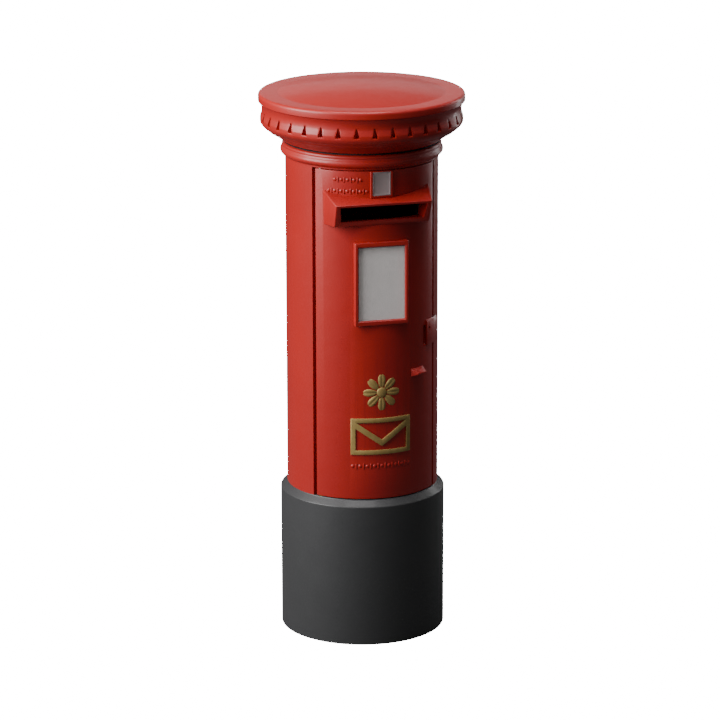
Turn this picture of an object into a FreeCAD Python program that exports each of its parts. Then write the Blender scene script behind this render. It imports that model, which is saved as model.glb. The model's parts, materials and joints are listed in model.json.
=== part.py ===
"""Pillar mailbox: cast-iron plinth, body, hinged door and roof, with the lock, letter guard and fixings inside.

Millimetres, +Z up. The origin is the centre of the plinth's underside. The door faces -Y, its hinge is on the
-X side and its lock on the +X side. Bearings are degrees round the pillar from the front, positive towards +X.
"""
import FreeCAD, Part
import math
import os

V = FreeCAD.Vector
UP = V(0, 0, 1)

# ---- driving dimensions ----
BODY_R = 220.0            # outside radius of the body and door
WALL = 14.0               # cast wall of body, door and plinth
PLINTH_STEP = 19.0        # how far the plinth's side stands out from the body
PLINTH_TOP_Z = 437.0      # seat of the body on the plinth
SHOULDER_H = 18.0         # height of the plinth's sloped shoulder
BODY_H = 1016.0           # body casting, from the plinth to the roof joint
HEAD_H = 45.0             # closed ring of the body over the door
SEAL_T = 1.5              # mastic strip under the roof
ROOF_STEP = 76.5          # how far the roof's rim stands out from the body
RIM_FACE_H = 22.5         # height of the rim's upright face
FLAT_W = 56.5             # width of the flat rim round the dome
DOME_RISE = 21.0
DENTILS = 35              # notches round the roof
DENTIL_FIRST = 3.0        # bearing of the first notch
DENTIL_H = 28.0
FLANGE_T = 14.0           # inner flanges of the castings
BOLT_R = 6.0              # M12 bolts of the castings
HOLE_GAP = 0.5            # radial clearance of bolt holes
ANCHOR_IN = 39.0          # ground anchor holes, in from the plinth's side
FOOT_W = 64.0             # width of the foot flange
ANCHOR_R = 9.0
ANCHOR_COUNT = 4

# ---- door ----
DOOR_HALF = 51.4          # bearing of the door's edges
GROOVE = 12.0             # open groove between door edge and body jamb
DOOR_GAP = 3.0            # gap over and under the door
EDGE_ROUND = 4.0          # rounding of the door's upright outer edges
RIM_T = 22.0              # thickness of the door's thick rim
RIM_W = 22.0              # width of that rim
STOP_GAP = 2.0            # door rim to the stop lip behind it
STOP_T = 12.0             # thickness of the stop lip
STOP_LAP = 15.5           # how far the lip reaches in behind the door's edge
PIN_R = 5.5               # hinge pins
PIN_L = 30.0              # length of each pin inside the door
BUSH_R = 8.0              # outside radius of the hinge bushes
RUN = 0.05                # radial running clearance

# ---- aperture hood ----
HOOD_DROP = 154.0         # door's top edge down to the hood's lower front edge
HOOD_H = 67.0             # height of the hood's front face
HOOD_HALF = 140.0         # half width of the front face
HOOD_ROOT_HALF = 155.0    # half width where it meets the door
HOOD_OUT = 31.0           # how far its top edge stands out of the door
HOOD_LEAN = 29.0          # how far its lower edge stands back from the top edge
MOUTH_HALF = 127.0
MOUTH_H = 46.0
MOUTH_LIP = 14.0          # metal under the mouth

# ---- notice, tablet, reliefs ----
NOTICE_W = 157.0
NOTICE_H = 243.0
NOTICE_DROP = 51.0        # hood's lower edge down to the notice frame
NOTICE_OUT = 5.0          # frame face beyond the door's front line
NOTICE_EDGE = 11.0        # visible width of the frame
NOTICE_LIP = 5.0          # depth of the front lip
PANE_T = 3.0
CARD_T = 1.0
BACK_T = 4.0
TABLET_W = 54.0
TABLET_H = 69.0
TABLET_DROP = 2.0         # door's top edge down to the tablet
TABLET_T = 2.4
EMBLEM_UP = 133.0         # door's foot up to the gilded relief
EMBLEM_W = 176.0
ENVELOPE_H = 108.0
EMBLEM_GAP = 20.0         # between the two gilded ornaments
ROSETTE_R = 56.0
PETAL_L = 42.0
PETAL_W = 23.0
BOSS_R = 15.0
ROW_UP = 98.0             # door's foot up to the lower relief row
ROW_DROPS = (25.0, 58.0)  # door's top edge down to the two upper relief rows
BEAD_R = 7.0
RELIEF_OUT = 4.0          # height of the gilded relief above the door
SINK = 0.5                # how far applied pieces are let into the casting
PULL_IN = 20.2            # bearing from the door's edge in to the pull
PULL_DROP = 103.0         # lock down to the pull
PULL_W = 52.0
PULL_OUT = 20.0

# ---- lock ----
LOCK_IN = 7.9             # bearing from the door's edge in to the lock
LOCK_DROP = 51.0          # notice frame's foot down to the middle of the lock
CASE_W = 68.0
CASE_H = 90.0
CASE_D = 34.0
CASE_END = 18.0           # end of the case, along the tangent
PLATE_T = 3.0
KEY_T = 4.0               # key centre along the tangent
KEY_UP = 16.0             # key centre above the middle of the lock
KEY_R = 6.5
CURTAIN_R = 9.8
THROW_PIN = 10.9          # radius of the curtain's driving pin
THROW_TURN = 80.0         # turn of the curtain for a full throw
DRIVE_R = 2.5
BOLT_T = 10.0
BOLT_H = 26.0
KEEP_T = 3.0              # steel keep that the bolt shoots behind
KEEP_GAP = 5.0            # keep to the bolt, which is flat where the keep is curved
STUMP_W = 3.5
STUMP_H = 4.0
POCKET_W = 9.0
PIVOT_R = 2.5
LEVERS = 3
LEVER_PITCH = 3.1
LEVER_DROP = 4.0          # degrees that the levers fall when the key leaves them
COVER_HALF_H = 33.0       # half the height of the lock block's face
COVER_SLOPE = 8.0         # height of its sloped top
COVER_OUT = 5.0
COVER_IN = 10.0           # bearing from the door's edge in to the block's near side
RECESS_W = 3.4            # finger recess beside the block, degrees wide
RECESS_D = 9.0

# ---- letter guard ----
GUARD_DROP = 101.0        # hood's lower edge down to the guard's top bar
GUARD_LIFT = 380.0
ROD_R = 4.0
WIRE_R = 1.6
WIRE_GAP = 36.0
GUIDE_T = 3.0
GUIDE_GAP = 0.6
BRACKET_H = 30.0

# ---- values that follow ----
BODY_IN = BODY_R - WALL
PLINTH_R = BODY_R + PLINTH_STEP
PLINTH_IN = PLINTH_R - WALL
ANCHOR_CIRCLE = PLINTH_R - ANCHOR_IN
JOINT_Z = PLINTH_TOP_Z + BODY_H
ROOF_Z = JOINT_Z + SEAL_T
ROOF_RIM_R = BODY_R + ROOF_STEP
RIM_Z = ROOF_Z + 113.5                  # foot of the rim's upright face, over the mouldings
ROOF_EDGE_Z = RIM_Z + RIM_FACE_H
ROOF_TOP_Z = ROOF_EDGE_Z + DOME_RISE
DOME_R = ROOF_RIM_R - FLAT_W
DOOR_Z = PLINTH_TOP_Z + DOOR_GAP
HEAD_Z = JOINT_Z - HEAD_H
DOOR_TOP = HEAD_Z - DOOR_GAP
HOOD_Z = DOOR_TOP - HOOD_DROP
NOTICE_Z = HOOD_Z - NOTICE_DROP - NOTICE_H
TABLET_Z = DOOR_TOP - TABLET_DROP - TABLET_H
EMBLEM_Z = DOOR_Z + EMBLEM_UP
LOCK_AT = DOOR_HALF - LOCK_IN
LOCK_Z = NOTICE_Z - LOCK_DROP
KEY_Z = LOCK_Z + KEY_UP
PULL_AT = DOOR_HALF - PULL_IN
PULL_Z = LOCK_Z - PULL_DROP
JAMB = DOOR_HALF + math.degrees(GROOVE / BODY_R)
RIM_IN = BODY_R - RIM_T
STOP_OUT = RIM_IN - STOP_GAP
STOP_IN = STOP_OUT - STOP_T
CASE_FACE = STOP_OUT                    # mounting face of the lock case
BOLT_FACE = STOP_IN - KEEP_T - KEEP_GAP
HEEL = RIM_T / 2                       # the hinge axis sits this far in from the door's face and edge
SILL_IN = STOP_IN - 14.0
SILL_TOP = PLINTH_TOP_Z + 12.0
BOLT_CIRCLE = (SILL_IN + STOP_OUT) / 2
NECK_IN = STOP_IN - 12.0                # clear way up into the roof
ROOF_CIRCLE = NECK_IN + 12.5
GUARD_IN = BODY_R * 7 / 11      # door's front line back to the plane of the sliding guard
GUARD_HALF = BODY_R * 7 / 11    # the guard's half width
GUARD_Y = -BODY_R + GUARD_IN
GUARD_TOP = HOOD_Z - GUARD_DROP
LOCK_THROW = 2 * THROW_PIN * math.sin(math.radians(THROW_TURN / 2))


# ---- shared geometry ----
def at(radius, bearing, z):
    a = math.radians(bearing)
    return V(radius * math.sin(a), -radius * math.cos(a), z)


def turned(shape, bearing):
    """Turn a shape built facing -Y to its bearing."""
    shape.rotate(V(0, 0, 0), UP, bearing)
    return shape


def box(x0, x1, y0, y1, z0, z1):
    return Part.makeBox(x1 - x0, y1 - y0, z1 - z0, V(x0, y0, z0))


def post(radius, z0, z1, centre=V(0, 0, 0)):
    return Part.makeCylinder(radius, z1 - z0, V(centre.x, centre.y, z0), UP)


def ring(inner, outer, z0, z1, centre=V(0, 0, 0)):
    return post(outer, z0, z1, centre).cut(post(inner, z0 - 1, z1 + 1, centre))


def sector(inner, outer, z0, z1, start, end):
    """Part of a tube between two bearings."""
    block = Part.makeCylinder(outer, z1 - z0, V(0, 0, z0), UP, end - start)
    block = block.cut(post(inner, z0 - 1, z1 + 1))
    return turned(block, start - 90)


def outward(radius, near, far, x, z):
    """Rod along the outward direction, from one distance to another, built facing -Y."""
    return Part.makeCylinder(radius, far - near, V(x, -near, z), V(0, -1, 0))


def spun(edges):
    """Solid of revolution from a closed outline in the XZ plane."""
    face = Part.Face(Part.Wire(edges))
    solid = face.revolve(V(0, 0, 0), UP, 360)
    return Part.Solid(solid.Shells[0]) if solid.ShapeType != "Solid" else solid


def line(a, b):
    return Part.LineSegment(V(a[0], 0, a[1]), V(b[0], 0, b[1])).toShape()


def arc(a, middle, b):
    return Part.Arc(V(a[0], 0, a[1]), V(middle[0], 0, middle[1]), V(b[0], 0, b[1])).toShape()


def chain(points):
    return [line(a, b) for a, b in zip(points, points[1:])]


def on_circle(centre, radius, angle):
    a = math.radians(angle)
    return (centre[0] + radius * math.cos(a), centre[1] + radius * math.sin(a))


def hex_head(radius, z0, z1, centre):
    corners = [V(centre.x + radius * math.cos(k * math.pi / 3),
                 centre.y + radius * math.sin(k * math.pi / 3), z0) for k in range(7)]
    return Part.Face(Part.makePolygon(corners)).extrude(V(0, 0, z1 - z0))


def group(solids):
    return Part.makeCompound(solids)


def loft(first, second):
    wires = [Part.makePolygon(points + points[:1]) for points in (first, second)]
    return Part.makeLoft(wires, True, True)


def hinge_axis():
    """Plan position of the hinge pins, in the thick heel of the door."""
    a = math.radians(-DOOR_HALF)
    radial = V(math.sin(a), -math.cos(a), 0)
    tangent = V(math.cos(a), math.sin(a), 0)
    return radial * (BODY_R - HEEL) + tangent * HEEL


def bearings(count, first):
    return [first + k * 360.0 / count for k in range(count)]


BASE_BOLTS = bearings(6, 30.0)
ROOF_BOLTS = bearings(8, 22.5)


# ---- plinth ----
def plinth_casting():
    top_in = SILL_IN - 10.0
    foot_in = PLINTH_R - FOOT_W
    edge_z = PLINTH_TOP_Z - SHOULDER_H
    outline = chain([(PLINTH_IN, FLANGE_T), (foot_in, FLANGE_T), (foot_in, 0),
                     (PLINTH_R - 2, 0), (PLINTH_R, 2), (PLINTH_R, edge_z),
                     (BODY_R, PLINTH_TOP_Z - 2), (BODY_R, PLINTH_TOP_Z), (top_in, PLINTH_TOP_Z),
                     (top_in, PLINTH_TOP_Z - FLANGE_T), (BODY_IN - 10, PLINTH_TOP_Z - FLANGE_T),
                     (PLINTH_IN, edge_z - FLANGE_T - 8), (PLINTH_IN, FLANGE_T)])
    casting = spun(outline)
    for bearing in bearings(ANCHOR_COUNT, 45.0):
        casting = casting.cut(post(ANCHOR_R, -1, FLANGE_T + 1, at(ANCHOR_CIRCLE, bearing, 0)))
    for bearing in BASE_BOLTS:
        casting = casting.cut(post(BOLT_R + HOLE_GAP, PLINTH_TOP_Z - FLANGE_T - 1, PLINTH_TOP_Z + 1,
                                   at(BOLT_CIRCLE, bearing, 0)))
    return casting.cut(post(PIN_R, PLINTH_TOP_Z - FLANGE_T - 5, PLINTH_TOP_Z + 1, hinge_axis()))


def base_bolts():
    solids = []
    for bearing in BASE_BOLTS:
        centre = at(BOLT_CIRCLE, bearing, 0)
        shank = post(BOLT_R, PLINTH_TOP_Z - FLANGE_T - 14, SILL_TOP, centre)
        solids.append(shank.fuse(hex_head(BOLT_R * 1.75, SILL_TOP, SILL_TOP + 7.5, centre)))
    return group(solids)


def base_nuts():
    under = PLINTH_TOP_Z - FLANGE_T
    return group([hex_head(BOLT_R * 1.75, under - 10, under, at(BOLT_CIRCLE, b, 0))
                  .cut(post(BOLT_R, under - 11, under + 1, at(BOLT_CIRCLE, b, 0))) for b in BASE_BOLTS])


def floor_plate():
    plate = post(SILL_IN - HOLE_GAP, PLINTH_TOP_Z, PLINTH_TOP_Z + 3)
    plate = plate.cut(post(20, PLINTH_TOP_Z - 1, PLINTH_TOP_Z + 4, V(0, 60, 0)))
    return plate


# ---- body ----
def body_casting():
    low_bead = (BODY_R + 2, JOINT_Z - 26)
    top_bead = (BODY_R + 2, JOINT_Z - 9)
    start = on_circle(low_bead, 11.8, -70)
    meet = on_circle(low_bead, 11.8, 50)
    meet_top = on_circle(top_bead, 7, -30)
    end = on_circle(top_bead, 7, 60)
    outline = [line((STOP_OUT, HEAD_Z), (BODY_R, HEAD_Z)), line((BODY_R, HEAD_Z), (BODY_R, start[1] - 2)),
               line((BODY_R, start[1] - 2), start),
               arc(start, on_circle(low_bead, 11.8, 0), meet), line(meet, meet_top),
               arc(meet_top, on_circle(top_bead, 7, 15), end), line(end, (end[0], JOINT_Z))]
    outline += chain([(end[0], JOINT_Z), (NECK_IN, JOINT_Z), (NECK_IN, JOINT_Z - FLANGE_T),
                      (STOP_OUT, JOINT_Z - FLANGE_T), (STOP_OUT, HEAD_Z)])
    casting = spun(outline)
    back = 360 - JAMB
    casting = casting.fuse(sector(BODY_IN, BODY_R, PLINTH_TOP_Z, HEAD_Z, JAMB, back))
    post_end = JAMB + 4.0
    lap = math.degrees(STOP_LAP / STOP_OUT)
    for side in (1, -1):
        jamb = sector(STOP_IN, BODY_IN + 1, PLINTH_TOP_Z, HEAD_Z + 1, JAMB, post_end)
        lip = sector(STOP_IN, STOP_OUT, PLINTH_TOP_Z, HEAD_Z + 1, JAMB - lap, JAMB + 1)
        whole = jamb.fuse(lip)
        casting = casting.fuse(whole if side > 0 else whole.mirror(V(0, 0, 0), V(1, 0, 0)))
    casting = casting.fuse(sector(STOP_IN, STOP_OUT, HEAD_Z - 22, HEAD_Z + 1, -JAMB, JAMB))
    casting = casting.fuse(ring(SILL_IN, STOP_OUT, PLINTH_TOP_Z, SILL_TOP))
    casting = casting.fuse(sector(STOP_OUT - 1, BODY_IN + 1, PLINTH_TOP_Z, SILL_TOP, JAMB, back))
    for bearing in BASE_BOLTS:
        casting = casting.cut(post(BOLT_R + HOLE_GAP, PLINTH_TOP_Z - 1, SILL_TOP + 1,
                                   at(BOLT_CIRCLE, bearing, 0)))
    for bearing in ROOF_BOLTS:
        casting = casting.cut(post(BOLT_R + HOLE_GAP, JOINT_Z - FLANGE_T - 9, JOINT_Z + 1,
                                   at(ROOF_CIRCLE, bearing, 0)))
    casting = casting.cut(post(PIN_R, HEAD_Z - 1, JOINT_Z - 10, hinge_axis()))
    return casting.removeSplitter()


# ---- roof ----
def roof_outline():
    """Outside and inside of the roof's ring as one closed outline: mouldings, dentil ring and flat rim."""
    ring_r = ROOF_RIM_R - 5.5
    neck_r = ROOF_RIM_R - 10.5
    edge = ROOF_EDGE_Z
    rim = (ROOF_RIM_R - 8.6, edge - 8)
    flange_in = NECK_IN + 2
    skin_in = neck_r - 24
    ceiling = edge - WALL
    outline = [line((flange_in, ROOF_Z), (BODY_R + 9, ROOF_Z)),
               arc((BODY_R + 9, ROOF_Z), (BODY_R + 28, ROOF_Z + 18), (BODY_R + 48, ROOF_Z + 30)),
               line((BODY_R + 48, ROOF_Z + 30), (BODY_R + 50, ROOF_Z + 33)),
               arc((BODY_R + 50, ROOF_Z + 33), (ring_r - 7, ROOF_Z + 43), (ring_r, ROOF_Z + 54)),
               line((ring_r, ROOF_Z + 54), (ring_r, ROOF_Z + 64)),
               arc((ring_r, ROOF_Z + 64), (ring_r - 1.5, ROOF_Z + 71), (neck_r + 1, ROOF_Z + 79)),
               arc((neck_r + 1, ROOF_Z + 79), (neck_r, ROOF_Z + 92), (neck_r + 2, ROOF_Z + 102)),
               line((neck_r + 2, ROOF_Z + 102), (neck_r + 6, ROOF_Z + 111)),
               line((neck_r + 6, ROOF_Z + 111), (ROOF_RIM_R, RIM_Z)),
               line((ROOF_RIM_R, RIM_Z), (ROOF_RIM_R, rim[1])),
               arc((ROOF_RIM_R, rim[1]), on_circle(rim, 8.6, 45), on_circle(rim, 8.6, 90)),
               line(on_circle(rim, 8.6, 90), (DOME_R - 2, edge))]
    outline += chain([(DOME_R - 2, edge), (DOME_R - 2, ceiling), (skin_in, ceiling - 6), (skin_in, ROOF_Z + 60),
                      (BODY_R + 22, ROOF_Z + 40), (BODY_IN + 8, ROOF_Z + 22), (flange_in, ROOF_Z + 22),
                      (flange_in, ROOF_Z)])
    return outline


def dome():
    """Shallow dome over the ring: the layer between two spheres."""
    top = ROOF_TOP_Z
    outer = (DOME_R ** 2 + DOME_RISE ** 2) / (2 * DOME_RISE)
    centre = V(0, 0, top - outer)
    layer = Part.makeSphere(outer, centre).cut(Part.makeSphere(outer - WALL, centre))
    return layer.common(post(DOME_R, top - DOME_RISE - WALL - 5, top + 5))


def dentil_cutter():
    """One notch: narrow at the top, wide and deep at its flat foot."""
    foot = ROOF_Z + 58.5
    head = foot + DENTIL_H
    near = ROOF_RIM_R - 21.5
    far = ROOF_RIM_R + 4
    top_near = ROOF_RIM_R - 11.5
    low = [V(-7, -near, foot), V(7, -near, foot), V(9.2, -far, foot), V(-9.2, -far, foot)]
    high = [V(-2.4, -top_near, head), V(2.4, -top_near, head), V(4, -far, head), V(-4, -far, head)]
    return loft(low, high)


def roof_casting():
    casting = spun(roof_outline()).fuse(dome())
    notches = [turned(dentil_cutter(), b) for b in bearings(DENTILS, DENTIL_FIRST)]
    casting = casting.cut(notches)
    for bearing in ROOF_BOLTS:
        casting = casting.cut(post(BOLT_R, ROOF_Z - 1, ROOF_Z + 18, at(ROOF_CIRCLE, bearing, 0)))
    return casting


def roof_seal():
    seal = ring(NECK_IN + 3, BODY_R + 5, JOINT_Z, ROOF_Z)
    for bearing in ROOF_BOLTS:
        seal = seal.cut(post(BOLT_R + HOLE_GAP, JOINT_Z - 1, ROOF_Z + 1, at(ROOF_CIRCLE, bearing, 0)))
    return seal


def roof_bolts():
    under = JOINT_Z - FLANGE_T
    solids = []
    for bearing in ROOF_BOLTS:
        centre = at(ROOF_CIRCLE, bearing, 0)
        washer = post(BOLT_R * 1.6, under - 2, under, centre)
        head = hex_head(BOLT_R * 1.5, under - 9.5, under - 2, centre)
        solids.append(post(BOLT_R, under - 2, ROOF_Z + 16, centre).fuse([washer, head]))
    return group(solids)


# ---- door ----
def door_shell():
    """Curved leaf with a thick rim; the inner corner at the hinge edge is rounded about the hinge axis."""
    edge = math.degrees(RIM_W / RIM_IN)
    leaf = sector(RIM_IN, BODY_R, DOOR_Z, DOOR_TOP, -DOOR_HALF, DOOR_HALF)
    hollow = sector(RIM_IN - 1, BODY_IN, DOOR_Z + RIM_W, DOOR_TOP - RIM_W, -DOOR_HALF + edge, DOOR_HALF - edge)
    leaf = leaf.cut(hollow)
    corner = box(-5, HEEL, -(BODY_R - HEEL), -(RIM_IN - 5), DOOR_Z - 1, DOOR_TOP + 1)
    corner = corner.cut(post(HEEL, DOOR_Z - 2, DOOR_TOP + 2, V(HEEL, -(BODY_R - HEEL), 0)))
    leaf = leaf.cut(turned(corner, -DOOR_HALF))
    nose = box(-3, EDGE_ROUND, -(BODY_R + 3), -(BODY_R - EDGE_ROUND), DOOR_Z - 1, DOOR_TOP + 1)
    nose = nose.cut(post(EDGE_ROUND, DOOR_Z - 2, DOOR_TOP + 2, V(EDGE_ROUND, -(BODY_R - EDGE_ROUND), 0)))
    far_nose = turned(nose.mirror(V(0, 0, 0), V(1, 0, 0)), DOOR_HALF)
    return leaf.cut([turned(nose, -DOOR_HALF), far_nose])


def hood():
    """Aperture hood: a leaning front face under a sloped roof."""
    top = HOOD_Z + HOOD_H
    out = BODY_R + HOOD_OUT
    root = BODY_R * math.cos(math.asin(HOOD_ROOT_HALF / BODY_R))
    rise = top + (out - root) * 0.3
    front = [V(-HOOD_HALF, -out, top), V(HOOD_HALF, -out, top),
             V(HOOD_HALF - 1.5, -out + HOOD_LEAN, HOOD_Z), V(-HOOD_HALF + 1.5, -out + HOOD_LEAN, HOOD_Z)]
    back = [V(-HOOD_ROOT_HALF, -root, rise), V(HOOD_ROOT_HALF, -root, rise),
            V(HOOD_ROOT_HALF - 2, -root, HOOD_Z - 5), V(-HOOD_ROOT_HALF + 2, -root, HOOD_Z - 5)]
    return loft(front, back)


def mouth():
    """The slot for letters, right through the hood and the door."""
    out = BODY_R + HOOD_OUT
    low = HOOD_Z + MOUTH_LIP
    high = low + MOUTH_H
    depth = 110.0
    front = [V(-MOUTH_HALF, -out - 6, high - 1.8), V(MOUTH_HALF, -out - 6, high - 1.8),
             V(MOUTH_HALF - 6, -out - 6, low + 2.6), V(-MOUTH_HALF + 6, -out - 6, low + 2.6)]
    back = [V(-MOUTH_HALF, -out + depth, high + depth * 0.24), V(MOUTH_HALF, -out + depth, high + depth * 0.24),
            V(MOUTH_HALF - 6, -out + depth, low - 6), V(-MOUTH_HALF + 6, -out + depth, low - 6)]
    return loft(front, back)


def relief_row(z, start, end, count):
    """Cast row of alternate beads and reels, a plain ornament."""
    pieces = []
    for k in range(count):
        bearing = start + (end - start) * k / (count - 1)
        if k % 2:
            piece = box(-2.2, 2.2, -BODY_R - 2.4, -BODY_R + 3, z - BEAD_R - 2, z + BEAD_R + 2)
        else:
            piece = outward(BEAD_R, BODY_R - 3, BODY_R + 1.2, 0, z)
            piece = piece.fuse(Part.makeCone(BEAD_R, 4, 1.6, V(0, -BODY_R - 1.2, z), V(0, -1, 0)))
        pieces.append(turned(piece, bearing))
    return pieces


def notice_box():
    return box(-NOTICE_W / 2, NOTICE_W / 2, -BODY_R - NOTICE_OUT, -BODY_IN + 24, NOTICE_Z, NOTICE_Z + NOTICE_H)


def notice_window():
    half = NOTICE_W / 2 - NOTICE_EDGE
    low = NOTICE_Z + NOTICE_EDGE + 4
    high = NOTICE_Z + NOTICE_H - NOTICE_EDGE - 4
    face = BODY_R + NOTICE_OUT
    window = box(-half, half, -face - 1, -face + NOTICE_LIP + 1, low, high)
    rebate = box(-half - 4, half + 4, -face + NOTICE_LIP, -BODY_IN + 60, low - 4, high + 4)
    return window.fuse(rebate)


def notice_sheet(near, thickness, gap):
    """Flat sheet in the notice rebate, a set distance behind the frame's front lip."""
    half = NOTICE_W / 2 - NOTICE_EDGE + 4 - gap
    low = NOTICE_Z + NOTICE_EDGE + gap
    y = -BODY_R - NOTICE_OUT + NOTICE_LIP + near
    return box(-half, half, y, y + thickness, low, NOTICE_Z + NOTICE_H - NOTICE_EDGE - gap)


def lock_pad():
    pad = box(CASE_END - CASE_W - 4, CASE_END + 4, -BODY_IN - 2, -CASE_FACE,
              LOCK_Z - CASE_H / 2 - 4, LOCK_Z + CASE_H / 2 + 4)
    return turned(pad, LOCK_AT)


def screw_places():
    """The four corners of the lock case, tangent and height."""
    x = (CASE_END - CASE_W + 8, CASE_END - 8)
    z = (LOCK_Z - CASE_H / 2 + 8, LOCK_Z + CASE_H / 2 - 8)
    return [(a, b) for a in x for b in z]


def finger_recess():
    """Pocket in the door's face, beside the lock block, to hook a finger behind the block."""
    near = DOOR_HALF - COVER_IN
    return sector(BODY_R - RECESS_D, BODY_R + 1, LOCK_Z - COVER_HALF_H + 1, LOCK_Z + COVER_HALF_H - 5,
                  near - RECESS_W, near + 1)


def door_casting():
    inside = post(BODY_IN, DOOR_Z - 1, DOOR_TOP + 1)
    rows = relief_row(DOOR_TOP - ROW_DROPS[0], -35, -15.5, 9)
    rows += relief_row(DOOR_TOP - ROW_DROPS[1], -40, -11, 13)
    rows += relief_row(DOOR_Z + ROW_UP, -22, 22, 17)
    tablet = box(-TABLET_W / 2 - 6, TABLET_W / 2 + 6, -BODY_R - 2.6, -BODY_R + 12,
                 TABLET_Z - 5, TABLET_Z + TABLET_H + 1.5)
    casting = door_shell().fuse([hood().cut(inside), notice_box(), lock_pad(), tablet] + rows)
    pocket = box(-TABLET_W / 2, TABLET_W / 2, -BODY_R - 4, -BODY_R + 0.5, TABLET_Z, TABLET_Z + TABLET_H)
    tools = [mouth(), notice_window(), pocket, finger_recess(),
             turned(outward(KEY_R, CASE_FACE - 1, BODY_R + 3, KEY_T, KEY_Z), LOCK_AT)]
    for x, z in screw_places():
        tools.append(turned(outward(2.5, CASE_FACE - 1, CASE_FACE + 9, x, z), LOCK_AT))
    for side in (-1, 1):
        tools.append(turned(outward(4 + HOLE_GAP, BODY_IN - 6, BODY_R + 1, side * 12, PULL_Z), PULL_AT))
    casting = casting.cut(tools)
    for z0, z1 in ((DOOR_Z - 1, DOOR_Z + PIN_L), (DOOR_TOP - PIN_L, DOOR_TOP + 1)):
        casting = casting.cut(post(BUSH_R, z0, z1, hinge_axis()))
    return casting.removeSplitter()


def hinge_bush(top):
    z0 = DOOR_TOP - PIN_L if top else DOOR_Z
    return ring(PIN_R + RUN, BUSH_R, z0, z0 + PIN_L, hinge_axis())


def hinge_pin_lower():
    return post(PIN_R, PLINTH_TOP_Z - FLANGE_T, DOOR_Z + PIN_L - 2, hinge_axis())


def hinge_pin_upper():
    return post(PIN_R, DOOR_TOP - PIN_L + 2, JOINT_Z - 12, hinge_axis())


def hinge_thrust_washer():
    return ring(PIN_R, HEEL - 0.4, PLINTH_TOP_Z, DOOR_Z - RUN, hinge_axis())


def collection_tablet():
    plate = box(-TABLET_W / 2 + 0.4, TABLET_W / 2 - 0.4, -BODY_R - TABLET_T + 0.5, -BODY_R + 0.5,
                TABLET_Z + 0.4, TABLET_Z + TABLET_H - 0.4)
    return plate


def door_pull():
    """Small wedge to pull the door by: sloped top, hollowed underneath for the fingers."""
    root_y = -BODY_R + SINK + 4
    root = [V(-PULL_W / 2, root_y, PULL_Z - 13), V(PULL_W / 2, root_y, PULL_Z - 13),
            V(PULL_W / 2, root_y, PULL_Z + 14), V(-PULL_W / 2, root_y, PULL_Z + 14)]
    nose_y = -BODY_R - PULL_OUT
    nose = [V(-PULL_W / 3, nose_y, PULL_Z - 4), V(PULL_W / 3, nose_y, PULL_Z - 4),
            V(PULL_W / 3, nose_y, PULL_Z), V(-PULL_W / 3, nose_y, PULL_Z)]
    pull = loft(root, nose)
    grip = Part.makeCylinder(11, PULL_W * 0.6, V(-PULL_W * 0.3, -BODY_R - 11, PULL_Z - 15), V(1, 0, 0))
    pull = pull.cut(grip).cut(post(BODY_R - SINK, PULL_Z - 40, PULL_Z + 40))
    studs = [outward(4, BODY_IN - 14, BODY_R + 3, side * 12, PULL_Z) for side in (-1, 1)]
    return turned(pull.fuse(studs), PULL_AT)


def door_pull_nuts():
    solids = []
    for side in (-1, 1):
        nut = outward(7, BODY_IN - 8, BODY_IN - 1.2, side * 12, PULL_Z)
        solids.append(turned(nut.cut(outward(4, BODY_IN - 9, BODY_IN, side * 12, PULL_Z)), PULL_AT))
    return group(solids)


def lock_cover_block():
    """Low raised casting over the lock: it laps the body's jamb, and its top slopes to shed rain."""
    z0 = LOCK_Z - COVER_HALF_H
    z1 = LOCK_Z + COVER_HALF_H
    near = DOOR_HALF - COVER_IN
    end = JAMB + 5.0
    block = sector(BODY_R - SINK, BODY_R + COVER_OUT, z0, z1, near, end)
    slope = Part.makeCone(BODY_R + COVER_OUT, BODY_R + 1, COVER_SLOPE, V(0, 0, z1), UP)
    slope = slope.common(sector(BODY_R - SINK, BODY_R + COVER_OUT, z1, z1 + COVER_SLOPE, near, end))
    lap = sector(BODY_R - 2, BODY_R + 1.5, z0 - 1, z1 + COVER_SLOPE + 1, DOOR_HALF - 0.4, end + 1)
    recess = sector(BODY_R - 2, BODY_R + COVER_OUT - 2, z0 + 1, z1 - 5, near - 1, near + 1)
    hole = turned(outward(KEY_R - 2, BODY_R - 3, BODY_R + COVER_OUT + 4, KEY_T, KEY_Z), LOCK_AT)
    return block.fuse(slope).cut([lap, recess, hole]).removeSplitter()


def wrapped(flat):
    """Keep the part of a shape that lies in the thin relief layer on the door's face."""
    return flat.common(ring(BODY_R - SINK, BODY_R + RELIEF_OUT, EMBLEM_Z - 60, EMBLEM_Z + 300))


def slab(points):
    """Flat outline in X and Z, carried outwards through the relief layer."""
    wire = Part.makePolygon([V(x, -BODY_R * 0.8, z) for x, z in points + points[:1]])
    return Part.Face(wire).extrude(V(0, -BODY_R * 0.3, 0))


def emblem_rosette():
    """Upper gilded ornament: a round rosette of eight petals about a boss."""
    middle = EMBLEM_Z + ENVELOPE_H + EMBLEM_GAP + ROSETTE_R
    pieces = [outward(BOSS_R, BODY_R * 0.8, BODY_R * 1.1, 0, middle)]
    for k in range(8):
        petal = Part.Face(Part.Wire(Part.Ellipse(V(0, 0, 0), PETAL_L / 2, PETAL_W / 2).toShape()))
        petal.rotate(V(0, 0, 0), V(0, 1, 0), -90)
        petal.rotate(V(0, 0, 0), V(0, 0, 1), 90)
        petal.translate(V(0, -BODY_R * 0.8, ROSETTE_R - PETAL_L / 2))
        petal.rotate(V(0, 0, 0), V(0, 1, 0), 45 * k)
        petal.translate(V(0, 0, middle))
        pieces.append(petal.extrude(V(0, -BODY_R * 0.3, 0)))
    return wrapped(pieces[0].fuse(pieces[1:]).removeSplitter())


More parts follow.
